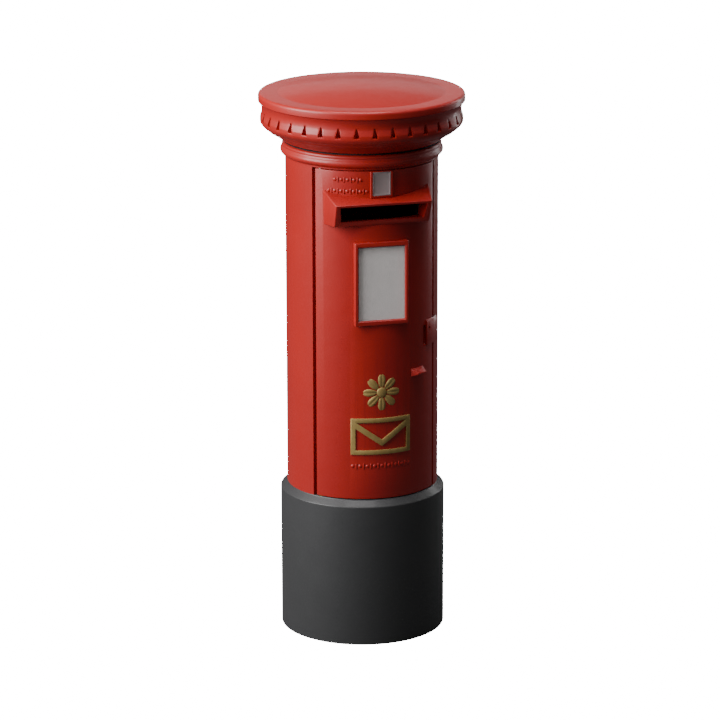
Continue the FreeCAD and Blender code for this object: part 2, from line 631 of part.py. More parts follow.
def emblem_envelope():
    """Lower gilded ornament: an open outline of a letter with its flap."""
    half = EMBLEM_W / 2
    low = EMBLEM_Z
    high = EMBLEM_Z + ENVELOPE_H
    bar = 13.0
    frame = slab([(-half, low), (half, low), (half, high), (-half, high)])
    frame = frame.cut(slab([(-half + bar, low + bar), (half - bar, low + bar),
                            (half - bar, high - bar), (-half + bar, high - bar)]))
    tip = low + 44
    flap = slab([(-half + 4, high - 5), (0, tip), (half - 4, high - 5), (half - 4, high - 5 - bar * 1.5),
                 (0, tip - bar * 1.5), (-half + 4, high - 5 - bar * 1.5)])
    return wrapped(frame.fuse(flap).removeSplitter())


def letter_chute():
    """Sheet chute that turns letters down and over the guard: floor, two sides and a curved fixing flange."""
    half = MOUTH_HALF + 1
    low = HOOD_Z + MOUTH_LIP - 10
    high = low + MOUTH_H + 44
    near = -BODY_R + 30
    end = GUARD_Y - 24
    side = [V(0, near, low), V(0, near, high), V(0, near + 40, high), V(0, end, high - 60), V(0, end, low - 44)]
    face = Part.Face(Part.makePolygon([p + V(-half - 2, 0, 0) for p in side + side[:1]]))
    trough = face.extrude(V(2 * half + 4, 0, 0))
    hollow_points = [V(0, near - 1, low + 2), V(0, near - 1, high + 1), V(0, end + 4, high + 1),
                     V(0, end + 4, low - 46)]
    hollow = Part.Face(Part.makePolygon([p + V(-half, 0, 0) for p in hollow_points + hollow_points[:1]]))
    trough = trough.cut(hollow.extrude(V(2 * half, 0, 0)))
    trough = trough.common(post(BODY_IN - 1, low - 60, high + 20))
    flange = sector(BODY_IN - 2.5, BODY_IN, low - 8, high + 8, -44.5, 44.5)
    opening = box(-half, half, -BODY_R - 10, end, low + 2, high - 2)
    return trough.fuse(flange.cut(opening)).cut(mouth())


def chute_rivets():
    solids = []
    for bearing in (-42.5, 42.5):
        for z in (HOOD_Z + 14, HOOD_Z + 50, HOOD_Z + 86):
            head = outward(4, BODY_IN - 5.5, BODY_IN, 0, z).common(post(BODY_IN - 2.5, z - 5, z + 5))
            solids.append(turned(head, bearing))
    return group(solids)


def notice_screws():
    """Four turn screws that hold the back plate, threaded into the frame from inside."""
    solids = []
    y = BODY_R + NOTICE_OUT - NOTICE_LIP - PANE_T - CARD_T - BACK_T
    for x in (-NOTICE_W / 2 + 24, NOTICE_W / 2 - 24):
        for z in (NOTICE_Z + 30, NOTICE_Z + NOTICE_H - 30):
            solids.append(outward(7, y - 6, y, x, z))
    return group(solids)


# ---- lock ----
def case_box(inset, depth0, depth1):
    return box(CASE_END - CASE_W + inset, CASE_END - inset, -depth1, -depth0,
               LOCK_Z - CASE_H / 2 + inset, LOCK_Z + CASE_H / 2 - inset)


def bolt_height():
    """Middle of the bolt: the curtain's driving pin works in it below the key centre."""
    return KEY_Z - THROW_PIN + 1.5


def lock_case():
    case = case_box(0, CASE_FACE - CASE_D + PLATE_T, CASE_FACE)
    case = case.cut(case_box(PLATE_T, CASE_FACE - CASE_D, CASE_FACE - PLATE_T))
    corners = [outward(6, CASE_FACE - CASE_D + PLATE_T, CASE_FACE - 1, x, z) for x, z in screw_places()]
    case = case.fuse(corners)
    tools = [outward(2.5, CASE_FACE - CASE_D, CASE_FACE + 1, x, z) for x, z in screw_places()]
    tools.append(outward(KEY_R + 3 + RUN, CASE_FACE - PLATE_T - 1, CASE_FACE + 1, KEY_T, KEY_Z))
    middle = bolt_height()
    tools.append(box(CASE_END - PLATE_T - 1, CASE_END + 1, -BOLT_FACE - 0.4, -BOLT_FACE + BOLT_T + 0.4,
                     middle - BOLT_H / 2 - 0.4, middle + BOLT_H / 2 + 0.4))
    return turned(case.cut(tools), LOCK_AT)


def lock_cap():
    cap = case_box(0, CASE_FACE - CASE_D, CASE_FACE - CASE_D + PLATE_T)
    return turned(cap.cut([outward(2.5, CASE_FACE - CASE_D - 1, CASE_FACE, x, z) for x, z in screw_places()]),
                  LOCK_AT)


def lock_screws():
    solids = []
    for x, z in screw_places():
        shank = outward(2.45, CASE_FACE - CASE_D, CASE_FACE + 8, x, z)
        head = outward(4.5, CASE_FACE - CASE_D - 3, CASE_FACE - CASE_D, x, z)
        solids.append(turned(shank.fuse(head), LOCK_AT))
    return group(solids)


def drive_pin_place():
    a = math.radians(THROW_TURN / 2)
    return KEY_T - THROW_PIN * math.sin(a), KEY_Z - THROW_PIN * math.cos(a)


def lock_curtain():
    """Barrel that the key turns: a boss in the case front, a round body, and an arm with the driving pin."""
    front = CASE_FACE - PLATE_T - 0.6
    boss = outward(KEY_R + 3, front - 1, CASE_FACE - 0.4, KEY_T, KEY_Z)
    hub = outward(CURTAIN_R, front - 6, front, KEY_T, KEY_Z)
    x, z = drive_pin_place()
    pin = outward(DRIVE_R, BOLT_FACE - BOLT_T - 0.5, front - 5, x, z)
    arm = box(-DRIVE_R - 1, DRIVE_R + 1, -front, -front + 6, -THROW_PIN, 0)
    arm.rotate(V(0, 0, 0), V(0, -1, 0), -THROW_TURN / 2)
    arm.translate(V(KEY_T, 0, KEY_Z))
    tip = outward(DRIVE_R + 1, front - 6, front, x, z)
    slot = box(KEY_T - 1.5, KEY_T + 1.5, -CASE_FACE - 1, -front + 4, KEY_Z - 6, KEY_Z + 6)
    return turned(boss.fuse([hub, pin, arm, tip]).cut(slot), LOCK_AT)


def lock_bolt():
    middle = bolt_height()
    bolt = box(CASE_END - 50, CASE_END + 1, -BOLT_FACE, -BOLT_FACE + BOLT_T,
               middle - BOLT_H / 2, middle + BOLT_H / 2)
    x, z = drive_pin_place()
    play = DRIVE_R + 0.5
    lowest = KEY_Z - THROW_PIN
    talon = box(x - play, x + play, -BOLT_FACE - 1, -BOLT_FACE + BOLT_T + 1, lowest - play, z + play)
    return turned(bolt.cut(talon), LOCK_AT)


def stump_place():
    """Where the bolt's stump stands, level with the gates of the lifted levers."""
    return CASE_END - 46.5, bolt_height() + 6


def lock_stump():
    x, z = stump_place()
    peg = box(x - STUMP_W / 2, x + STUMP_W / 2, -BOLT_FACE - 9.8, -BOLT_FACE + SINK,
              z - STUMP_H / 2, z + STUMP_H / 2)
    return turned(peg, LOCK_AT)


def lever_pivot_place():
    return CASE_END - CASE_W + 9, LOCK_Z - CASE_H / 2 + 22


def lever_pivot():
    x, z = lever_pivot_place()
    return turned(outward(PIVOT_R, BOLT_FACE, CASE_FACE - PLATE_T, x, z), LOCK_AT)


def lock_levers():
    """Flat levers on one pivot, shown lifted: their gates join two pockets that the stump stands in."""
    px, pz = lever_pivot_place()
    sx, sz = stump_place()
    low = sz - STUMP_H / 2 - 0.6
    pocket_top = sz + 9
    end = sx + LOCK_THROW + POCKET_W / 2
    solids = []
    for k in range(LEVERS):
        near = -BOLT_FACE - 0.5 - LEVER_PITCH * (k + 1)
        far = near + LEVER_PITCH - 0.5
        arm = box(px - 5, px + 8, near, far, pz - 6, sz + 16)
        blade = box(px - 5, end + 2, near, far, sz - 12, sz + 16)
        gate = box(sx, end, near - 1, far + 1, low, sz + STUMP_H / 2 + 0.6)
        pockets = [box(x - POCKET_W / 2, x + POCKET_W / 2, near - 1, far + 1, low, pocket_top)
                   for x in (sx, sx + LOCK_THROW)]
        hole = outward(PIVOT_R + RUN, BOLT_FACE - 2, CASE_FACE, px, pz)
        solids.append(turned(arm.fuse(blade).cut([gate, hole] + pockets), LOCK_AT))
    return group(solids)


def lever_springs():
    """One leaf spring on the top of each lever, leaning against the case."""
    px, pz = lever_pivot_place()
    top = stump_place()[1] + 16
    reach = LOCK_Z + CASE_H / 2 - PLATE_T - 1 - top
    solids = []
    for k in range(LEVERS):
        near = -BOLT_FACE - LEVER_PITCH * (k + 1)
        foot = [V(px + 2, near, top - SINK), V(px + 3, near, top - SINK),
                V(px + 3, near + 1.6, top - SINK), V(px + 2, near + 1.6, top - SINK)]
        tip = [p + V(9, 0, reach) for p in foot]
        solids.append(turned(loft(foot, tip), LOCK_AT))
    return group(solids)


def lock_keep():
    """Steel keep behind the body's lip, where the bolt shoots."""
    middle = bolt_height()
    lap = math.degrees(STOP_LAP / STOP_OUT)
    return sector(STOP_IN - KEEP_T, STOP_IN, middle - 24, middle + 24, JAMB - lap + 0.2, JAMB + 3)


def keep_screws():
    middle = bolt_height()
    return group([turned(outward(3.5, STOP_IN - KEEP_T - 2, STOP_IN - KEEP_T, 0, middle + s * 18), JAMB)
                  for s in (-1, 1)])


# ---- letter guard ----
def guard_guide(side):
    """U-shaped channel that the guard's side rod slides in, closed at its foot."""
    x0 = GUARD_HALF - ROD_R - GUIDE_GAP
    x1 = GUARD_HALF + ROD_R + GUIDE_GAP + GUIDE_T
    z0 = SILL_TOP
    z1 = HEAD_Z - 8
    half = ROD_R + GUIDE_GAP
    channel = box(x0, x1, GUARD_Y - half - GUIDE_T, GUARD_Y + half + GUIDE_T, z0, z1)
    channel = channel.cut(box(x0 - 1, x1 - GUIDE_T, GUARD_Y - half, GUARD_Y + half, z0 + GUIDE_T, z1 + 1))
    return channel if side > 0 else channel.mirror(V(0, 0, 0), V(1, 0, 0))


def bracket_heights():
    """Feet of the three brackets of each guide, evenly spaced."""
    first = SILL_TOP + 171
    last = HEAD_Z - 148
    return [first, (first + last) / 2, last]


def guide_brackets():
    """Bars from the guides to the body wall, each foot cut to the wall's curve."""
    x0 = GUARD_HALF + ROD_R + GUIDE_GAP + GUIDE_T
    wall = post(BODY_IN, SILL_TOP, JOINT_Z)
    solids = []
    for z in bracket_heights():
        bar = box(x0, BODY_R, GUARD_Y - 4, GUARD_Y + 2, z, z + BRACKET_H).common(wall)
        foot = box(x0, BODY_R, GUARD_Y - 4, GUARD_Y + 34, z, z + BRACKET_H)
        foot = foot.common(ring(BODY_IN - 5, BODY_IN, z - 1, z + BRACKET_H + 1))
        bracket = bar.fuse(foot).removeSplitter()
        solids += [bracket, bracket.mirror(V(0, 0, 0), V(1, 0, 0))]
    return group(solids)


def guide_screws():
    bearing = math.degrees(math.acos(-(GUARD_Y + 20) / BODY_IN))
    solids = []
    for z in bracket_heights():
        for side in (-1, 1):
            solids.append(turned(outward(5, BODY_IN - 8.5, BODY_IN - 5, 0, z + BRACKET_H / 2), side * bearing))
    return group(solids)


def guard_foot():
    return SILL_TOP + GUIDE_T + 1.0 + ROD_R


def letter_guard_frame():
    z0 = guard_foot()
    solid = post(ROD_R, z0 - ROD_R, GUARD_TOP + ROD_R, V(GUARD_HALF, GUARD_Y, 0))
    parts = [post(ROD_R, z0 - ROD_R, GUARD_TOP + ROD_R, V(-GUARD_HALF, GUARD_Y, 0))]
    for z in (z0, (z0 + GUARD_TOP) / 2, GUARD_TOP):
        parts.append(Part.makeCylinder(ROD_R - 0.5, 2 * GUARD_HALF, V(-GUARD_HALF, GUARD_Y, z), V(1, 0, 0)))
    return solid.fuse(parts)


def letter_guard_wires():
    """Upright wires welded to the back of the frame's bars."""
    count = int(2 * (GUARD_HALF - 20) / WIRE_GAP) + 1
    span = (count - 1) * WIRE_GAP / 2
    y = GUARD_Y + ROD_R - 0.5 + WIRE_R - 0.3
    z0 = guard_foot()
    return group([post(WIRE_R, z0, GUARD_TOP, V(-span + k * WIRE_GAP, y, 0)) for k in range(count)])


def guard_handle():
    """Loop handle welded to the middle bar, in front of the guard."""
    z = (guard_foot() + GUARD_TOP) / 2
    half = 45.0
    reach = 18.0
    y = GUARD_Y - ROD_R + 1.0
    grip = Part.makeCylinder(3, 2 * half, V(-half, y - reach, z), V(1, 0, 0))
    legs = [Part.makeCylinder(3, reach, V(s * (half - 3), y, z), V(0, -1, 0)) for s in (-1, 1)]
    return grip.fuse(legs)


NODES = {
    "plinth_casting": plinth_casting, "base_bolts": base_bolts, "base_nuts": base_nuts,
    "floor_plate": floor_plate, "body_casting": body_casting, "roof_casting": roof_casting,
    "roof_seal": roof_seal, "roof_bolts": roof_bolts, "door_casting": door_casting,
    "hinge_bush_upper": lambda: hinge_bush(True), "hinge_bush_lower": lambda: hinge_bush(False),
    "hinge_pin_upper": hinge_pin_upper, "hinge_pin_lower": hinge_pin_lower,
    "hinge_thrust_washer": hinge_thrust_washer, "collection_tablet": collection_tablet,
    "door_pull": door_pull, "door_pull_nuts": door_pull_nuts, "lock_cover_block": lock_cover_block,
    "emblem_rosette": emblem_rosette, "emblem_envelope": emblem_envelope,
    "letter_chute": letter_chute, "chute_rivets": chute_rivets,
    "notice_pane": lambda: notice_sheet(0, PANE_T, 0.5),
    "notice_card": lambda: notice_sheet(PANE_T, CARD_T, 1.0),
    "notice_back_plate": lambda: notice_sheet(PANE_T + CARD_T, BACK_T, 0.5),
    "notice_screws": notice_screws, "lock_case": lock_case, "lock_cap": lock_cap,
    "lock_screws": lock_screws, "lock_curtain": lock_curtain, "lock_bolt": lock_bolt,
    "lock_stump": lock_stump, "lever_pivot": lever_pivot, "lock_levers": lock_levers,
    "lever_springs": lever_springs,
    "lock_keep": lock_keep, "keep_screws": keep_screws,
    "guard_guide_left": lambda: guard_guide(-1), "guard_guide_right": lambda: guard_guide(1),
    "guide_brackets": guide_brackets, "guide_screws": guide_screws,
    "letter_guard_frame": letter_guard_frame, "letter_guard_wires": letter_guard_wires,
    "guard_handle": guard_handle,
}

os.makedirs("parts", exist_ok=True)
for name, make in NODES.items():
    shape = make()
    shape.exportStep(os.path.join("parts", name + ".step"))
    state = "valid" if shape.isValid() else "INVALID"
    print(name, len(shape.Solids), "solids", state, round(shape.Volume / 1000), "cm3")
axis = hinge_axis()
print("hinge axis", round(axis.x, 3), round(axis.y, 3), "throw", round(LOCK_THROW, 3))
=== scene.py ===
"""Looks of a round pillar mailbox: red gloss enamel on cast iron over a dark grey plinth, round the CAD frame."""
import bpy
import json
import math
from mathutils import Matrix, Vector


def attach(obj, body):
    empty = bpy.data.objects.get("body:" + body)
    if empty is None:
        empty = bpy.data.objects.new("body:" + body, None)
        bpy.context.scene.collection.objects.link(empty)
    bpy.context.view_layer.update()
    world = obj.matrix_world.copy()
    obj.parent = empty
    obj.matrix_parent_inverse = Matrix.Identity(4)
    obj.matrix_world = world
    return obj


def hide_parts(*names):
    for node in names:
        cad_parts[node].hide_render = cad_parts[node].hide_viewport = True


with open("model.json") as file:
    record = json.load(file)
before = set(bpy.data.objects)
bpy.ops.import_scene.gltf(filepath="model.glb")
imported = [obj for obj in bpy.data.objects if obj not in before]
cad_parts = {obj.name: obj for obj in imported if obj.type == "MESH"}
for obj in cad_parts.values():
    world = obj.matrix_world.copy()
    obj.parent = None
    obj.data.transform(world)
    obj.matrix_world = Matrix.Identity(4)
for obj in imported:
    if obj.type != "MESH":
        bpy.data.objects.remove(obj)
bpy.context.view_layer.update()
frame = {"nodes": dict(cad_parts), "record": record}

# ---- Camera ----
# A long lens some ten metres away, a little to the left of the door's middle, that looks slightly down and sees
# the top of the roof. Angles are in degrees.
CAMERA_PLACE = (-2.6645, -10.1318, 3.7229)
CAMERA_BEARING = -14.7
CAMERA_DOWN = 15.62
CAMERA_ROLL = -0.132
CAMERA_LENS = 186.88
CAMERA_SENSOR = 36

bpy.ops.object.camera_add(location=CAMERA_PLACE)
camera = bpy.context.active_object
camera.rotation_euler = (Matrix.Rotation(math.radians(CAMERA_BEARING), 3, "Z")
                         @ Matrix.Rotation(math.radians(90 - CAMERA_DOWN), 3, "X")
                         @ Matrix.Rotation(math.radians(CAMERA_ROLL), 3, "Z")).to_euler()
camera.data.sensor_width = CAMERA_SENSOR
camera.data.lens = CAMERA_LENS
bpy.context.scene.camera = camera

# ---- Studio ----
# A big soft box to the viewer's left, a narrow strip and a faint box behind on the right, and a soft light
# overhead. Backdrop and floor glow white only where the camera sees them, so that they hardly light the pillar.
WHITE = (1, 1, 1, 1)
SEEN_GLOW = 18.0
ROOM_LIGHT = 0.13
FLOOR_WIDTH = 40


def soft_box(name, bearing, elevation, distance, width, height, watts, aim=0.9):
    """Area light that looks at the pillar; bearing counts from the door's front, positive towards +X."""
    b, e = math.radians(bearing), math.radians(elevation)
    target = Vector((0, 0, aim))
    place = target + distance * Vector((math.sin(b) * math.cos(e), -math.cos(b) * math.cos(e), math.sin(e)))
    bpy.ops.object.light_add(type="AREA", location=place)
    light = bpy.context.active_object
    light.name = name
    light.rotation_euler = (target - place).to_track_quat("-Z", "Y").to_euler()
    light.data.shape = "RECTANGLE"
    light.data.size, light.data.size_y, light.data.energy = width, height, watts


soft_box("key_box", -82, 28, 4.2, 3.0, 3.2, 370)
soft_box("rim_strip", 118, 14, 3.6, 0.6, 2.6, 26)
soft_box("back_box", 165, 13, 4.0, 3.0, 0.9, 7, aim=1.5)
soft_box("top_box", -20, 78, 3.2, 2.0, 2.0, 95, aim=1.5)


def add_node(tree, kind, props=None, values=None, links=None):
    """Add a shader node with its settings, its socket values and the outputs that feed it."""
    node = tree.nodes.new(kind)
    for key, value in (props or {}).items():
        setattr(node, key, value)
    for key, value in (values or {}).items():
        node.inputs[key].default_value = value
    for key, source in (links or {}).items():
        tree.links.new(source, node.inputs[key])
    return node


world = bpy.data.worlds.new("studio_world")
bpy.context.scene.world = world
world.use_nodes = True
world.node_tree.nodes.clear()
seen = add_node(world.node_tree, "ShaderNodeLightPath")
lit = add_node(world.node_tree, "ShaderNodeBackground", values={"Color": WHITE, "Strength": ROOM_LIGHT})
backdrop = add_node(world.node_tree, "ShaderNodeBackground", values={"Color": WHITE, "Strength": SEEN_GLOW})
blend = add_node(world.node_tree, "ShaderNodeMixShader",
                 links={0: seen.outputs["Is Camera Ray"], 1: lit.outputs[0], 2: backdrop.outputs[0]})
add_node(world.node_tree, "ShaderNodeOutputWorld", links={"Surface": blend.outputs[0]})


def srgb(code):
    """sRGB hex colour as linear RGBA."""
    channels = [int(code[k:k + 2], 16) / 255 for k in (1, 3, 5)]
    return [c / 12.92 if c <= 0.04045 else ((c + 0.055) / 1.055) ** 2.4 for c in channels] + [1.0]


def new_material(name):
    """Empty node material with its shader and the coordinates that every pattern reads."""
    material = bpy.data.materials.new(name)
    material.use_nodes = True
    tree = material.node_tree
    tree.nodes.clear()
    shader = add_node(tree, "ShaderNodeBsdfPrincipled")
    add_node(tree, "ShaderNodeOutputMaterial", links={"Surface": shader.outputs[0]})
    place = add_node(tree, "ShaderNodeTexCoord").outputs["Object"]
    return material, tree, shader, place


def waves(size_mm):
    """Noise scale, in cycles a metre, that gives patches of that size."""
    return 1000.0 / size_mm


def fresh():
    """Nothing selected, so that an operator acts only on what is made next."""
    if bpy.context.object and bpy.context.object.mode != "OBJECT":
        bpy.ops.object.mode_set(mode="OBJECT")
    bpy.ops.object.select_all(action="DESELECT")


fresh()
bpy.ops.mesh.primitive_plane_add(size=FLOOR_WIDTH)
floor = bpy.context.active_object
floor.name = "studio_floor"
material, tree, shader, place = new_material("lit_white_acrylic_sweep")
shader.inputs["Base Color"].default_value = srgb("#4A4A4A")
shader.inputs["Roughness"].default_value = 0.85
glow = add_node(tree, "ShaderNodeEmission", values={"Color": WHITE, "Strength": SEEN_GLOW})
seen = add_node(tree, "ShaderNodeLightPath")
sweep = add_node(tree, "ShaderNodeMixShader",
                 links={0: seen.outputs["Is Camera Ray"], 1: shader.outputs[0], 2: glow.outputs[0]})
tree.links.new(sweep.outputs[0], tree.nodes["Material Output"].inputs["Surface"])
floor.data.materials.append(material)

# ---- Plinth ----
# One iron casting in dark grey enamel: a drum with a sloped shoulder and a seat for the body, and a flange inside
# its foot with four holes for ground anchors. Its edges are rounded as cast and filled by the paint.
def rounded(corners, steps=5):
    """Closed outline in millimetres from corners (across, up, rounding), each rounding drawn as an arc."""
    points = []
    for k, (across, up, radius) in enumerate(corners):
        here = Vector((across, up))
        back = Vector(corners[k - 1][:2]) - here
        on = Vector(corners[(k + 1) % len(corners)][:2]) - here
        half = back.angle(on) / 2
        reach = min(radius / math.tan(half), 0.49 * back.length, 0.49 * on.length) if radius else 0
        if not reach:
            points.append(tuple(here))
            continue
        middle = here + (back.normalized() + on.normalized()).normalized() * reach / math.cos(half)
        first = here + back.normalized() * reach - middle
        last = here + on.normalized() * reach - middle
        for step in range(steps + 1):
            ray = first.lerp(last, step / steps).normalized() * first.length
            points.append(tuple(middle + ray))
    return points


def lathe(name, outline, start=-180.0, sweep=360.0, step=1.5):
    """Turn a closed outline about the pillar's axis from a starting bearing; a part turn gets flat ends."""
    fresh()
    bpy.ops.mesh.primitive_plane_add(size=0.01)
    piece = bpy.context.active_object
    piece.name = name
    bpy.ops.object.mode_set(mode="EDIT")
    bpy.ops.mesh.select_all(action="SELECT")
    bpy.ops.mesh.merge(type="CENTER")
    bpy.ops.transform.translate(value=(outline[0][0] / 1000, 0, outline[0][1] / 1000))
    for (x0, z0), (x1, z1) in zip(outline, outline[1:] + outline[:1]):
        move = {"value": ((x1 - x0) / 1000, 0, (z1 - z0) / 1000)}
        bpy.ops.mesh.extrude_vertices_move(TRANSFORM_OT_translate=move)
    bpy.ops.mesh.select_all(action="SELECT")
    bpy.ops.mesh.remove_doubles(threshold=1e-5)
    bpy.ops.mesh.spin(steps=round(sweep / step), angle=math.radians(sweep), center=(0, 0, 0), axis=(0, 0, 1))
    bpy.ops.mesh.select_all(action="SELECT")
    bpy.ops.mesh.remove_doubles(threshold=1e-5)
    if sweep < 360:
        bpy.ops.mesh.fill_holes(sides=0)
    bpy.ops.mesh.normals_make_consistent(inside=False)
    bpy.ops.object.mode_set(mode="OBJECT")
    piece.rotation_euler.z = math.radians(start + sweep - 90)
    bpy.ops.object.transform_apply(location=False, rotation=True, scale=False)
    return piece


def pick(piece):
    """One piece selected and active, ready for an operator."""
    fresh()
    piece.select_set(True)
    bpy.context.view_layer.objects.active = piece


def apply_modifier(piece, kind, **settings):
    """Add a modifier with its settings and make its result the piece's mesh."""
    modifier = piece.modifiers.new(kind.lower(), kind)
    for key, value in settings.items():
        setattr(modifier, key, value)
    pick(piece)
    bpy.ops.object.modifier_apply(modifier=modifier.name)


def combine(piece, tool, how="DIFFERENCE"):
    """Cut a tool from a piece, or weld it on with UNION; the tool is used up."""
    apply_modifier(piece, "BOOLEAN", operation=how, solver="EXACT", object=tool)
    bpy.data.objects.remove(tool)


def turn(piece, bearing):
    """Turn a piece made facing the front to its bearing."""
    pick(piece)
    piece.rotation_euler.z = math.radians(bearing)
    bpy.ops.object.transform_apply(location=False, rotation=True, scale=False)
    return piece


def rod(name, radius, place, length, lying=True, sides=32):
    """Cylinder from a place in millimetres: upward, or lying along the outward direction, facing the front."""
    fresh()
    x, y, z = place
    centre = (x / 1000, (y - length / 2) / 1000, z / 1000) if lying else (x / 1000, y / 1000, (z + length / 2) / 1000)
    spin = (math.radians(90), 0, 0) if lying else (0, 0, 0)
    bpy.ops.mesh.primitive_cylinder_add(vertices=sides, radius=radius / 1000, depth=length / 1000,
                                        location=centre, rotation=spin)
    piece = bpy.context.active_object
    piece.name = name
    bpy.ops.object.transform_apply(location=True, rotation=True, scale=True)
    return piece


def finish(piece, material, body, slot, *nodes):
    """Finish of a piece: its paint, smooth faces up to its real edges, and its place in the frame."""
    piece.data.materials.clear()
    piece.data.materials.append(material)
    pick(piece)
    bpy.ops.object.shade_smooth_by_angle(angle=math.radians(32))
    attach(piece, body)
    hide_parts(*nodes)


def enamel_on_iron(name, colour, shade, roughness, coat):
    """Gloss enamel brushed over cast iron: it keeps the casting's slow waviness and its own fine orange peel."""
    material, tree, shader, place = new_material(name)
    patches = add_node(tree, "ShaderNodeTexNoise", values={"Scale": waves(170), "Detail": 3.0},
                       links={"Vector": place})
    tint = add_node(tree, "ShaderNodeMix", {"data_type": "RGBA"}, values={6: srgb(colour), 7: srgb(shade)},
                    links={0: patches.outputs["Fac"]})
    tree.links.new(tint.outputs[2], shader.inputs["Base Color"])
    smears = add_node(tree, "ShaderNodeTexNoise", values={"Scale": waves(60), "Detail": 5.0}, links={"Vector": place})
    gloss = add_node(tree, "ShaderNodeMapRange", values={"To Min": roughness - 0.06, "To Max": roughness + 0.07},
                     links={"Value": smears.outputs["Fac"]})
    tree.links.new(gloss.outputs[0], shader.inputs["Roughness"])
    cast = add_node(tree, "ShaderNodeTexNoise", values={"Scale": waves(45), "Detail": 2.0}, links={"Vector": place})
    peel = add_node(tree, "ShaderNodeTexNoise", values={"Scale": waves(3.5), "Detail": 1.0}, links={"Vector": place})
    sand = add_node(tree, "ShaderNodeBump", values={"Strength": 0.35, "Distance": 0.0012},
                    links={"Height": cast.outputs["Fac"]})
    skin = add_node(tree, "ShaderNodeBump", values={"Strength": 0.10, "Distance": 0.0003},
                    links={"Height": peel.outputs["Fac"], "Normal": sand.outputs[0]})
    tree.links.new(skin.outputs[0], shader.inputs["Normal"])
    shader.inputs["Coat Weight"].default_value = coat
    shader.inputs["Coat Roughness"].default_value = 0.12
    return material


BODY = 220
SIDE = 239
SEAT = 437
FOOT_HOLES = 200

grey_enamel = enamel_on_iron("plinth_black_grey_enamel", "#3A3A3B", "#333334", 0.5, 0.1)

plinth = lathe("plinth_drum", rounded([
    (175, 0, 1), (SIDE, 0, 3), (SIDE, 419, 5), (221, 435, 2), (BODY, SEAT, 0.5), (160, SEAT, 1), (160, 423, 1),
    (196, 423, 2), (225, 397, 3), (225, 14, 5), (175, 14, 1)]))
for quarter in range(4):
    combine(plinth, turn(rod("anchor_drill", 9, (0, -FOOT_HOLES, -5), 25, lying=False), 45 + 90 * quarter))
finish(plinth, grey_enamel, "pillar", "plinth_grey", "plinth_casting")

# ---- Body ----
# One iron casting, painted red: the pillar's shell behind the door, a closed ring with a double bead over the
# doorway, and the stop lips that the door closes against. The doorway's edges are eased by hand and by paint.
JAMB = 54.53
HEAD = 1408
JOINT = 1453
SHELL_IN = 206
LIP_OUT = 196
LIP_IN = 184
LIP_AT = 50.0


def swell(across, up, radius, start, end, steps=10):
    """Points of a round bead, as corners with no rounding."""
    turns = [math.radians(start + (end - start) * k / steps) for k in range(steps + 1)]
    return [(across + radius * math.cos(t), up + radius * math.sin(t), 0) for t in turns]


def soften(piece, width, angle=35, segments=3):
    """Ease every edge sharper than an angle by a width in millimetres."""
    apply_modifier(piece, "BEVEL", width=width / 1000, segments=segments, limit_method="ANGLE",
                   angle_limit=math.radians(angle))


def sector(name, near, far, low, high, start, end):
    """Part of a plain tube between two bearings, in millimetres and degrees."""
    return lathe(name, [(near, low), (far, low), (far, high), (near, high)], start, end - start)


red_enamel = enamel_on_iron("pillar_red_gloss_enamel", "#AE1F18", "#A21C16", 0.44, 0.15)
beads = swell(222, 1427, 11.8, -68, 50) + swell(222, 1444, 7, -30, 60)
body = lathe("body_shell", rounded([(170, SEAT, 1), (BODY, SEAT, 0.5), (BODY, 1413, 3)] + beads + [
    (217, 1451.5, 0.5), (217, JOINT, 0), (172, JOINT, 1), (172, 1439, 1), (LIP_OUT, 1439, 2), (LIP_OUT, HEAD + 1, 0),
    (SHELL_IN, HEAD + 1, 0), (SHELL_IN, 449, 1), (170, 449, 1)]))
combine(body, sector("doorway", LIP_OUT, 250, SEAT - 9, HEAD, -JAMB, JAMB))
combine(body, lathe("head_lip", [(LIP_IN, HEAD - 22), (LIP_OUT, HEAD - 22), (LIP_OUT, HEAD - 1.5),
                                 (LIP_OUT + 2, HEAD - 1.5), (LIP_OUT + 2, HEAD + 4), (LIP_IN, HEAD + 4)],
                    -JAMB - 1, 2 * JAMB + 2), "UNION")
for side in (-1, 1):
    first, last = sorted((side * LIP_AT, side * (JAMB + 4)))
    combine(body, sector("stop_lip", LIP_IN, LIP_OUT, SEAT + 0.5, HEAD + 1.5, first, last), "UNION")
    first, last = sorted((side * JAMB, side * (JAMB + 4)))
    combine(body, sector("jamb_post", LIP_OUT - 1, SHELL_IN + 1, SEAT + 0.5, HEAD + 1.5, first, last), "UNION")
soften(body, 1.6, angle=50)
finish(body, red_enamel, "pillar", "pillar_box_red", "body_casting")

# ---- Roof ----
# One heavy iron casting bolted on from inside: a cove, a ring cut with square-footed notches, a neck, a wide
# rim with a rounded top edge and a shallow dome. Rain and many coats of paint leave every edge soft.
ROOF = 1454.5
RIM = 296.5
RIM_TOP = 1590.5
DOME_EDGE = 240
DOME_RISE = 21
SKIN = 14
NOTCHES = 35
NOTCH_FIRST = 3.0
NOTCH_OUT = -300.5


def bow(first, middle, last, steps=8):
    """Curve through three points, as corners with no rounding."""
    points = []
    for k in range(steps + 1):
        t = k / steps
        weights = ((1 - t) * (1 - 2 * t), 4 * t * (1 - t), t * (2 * t - 1))
        points.append(tuple(sum(w * p[axis] for w, p in zip(weights, (first, middle, last))) for axis in (0, 1))
                      + (0,))
    return points


def prism(name, low, high):
    """Block with four low and four high corners in millimetres: left front, right front, left back, right back."""
    fresh()
    bpy.ops.mesh.primitive_cube_add(size=2)
    piece = bpy.context.active_object
    piece.name = name
    for corner in piece.data.vertices:
        which = (corner.co.x > 0) + 2 * (corner.co.y > 0)
        corner.co = Vector((high if corner.co.z > 0 else low)[which]) / 1000
    return piece


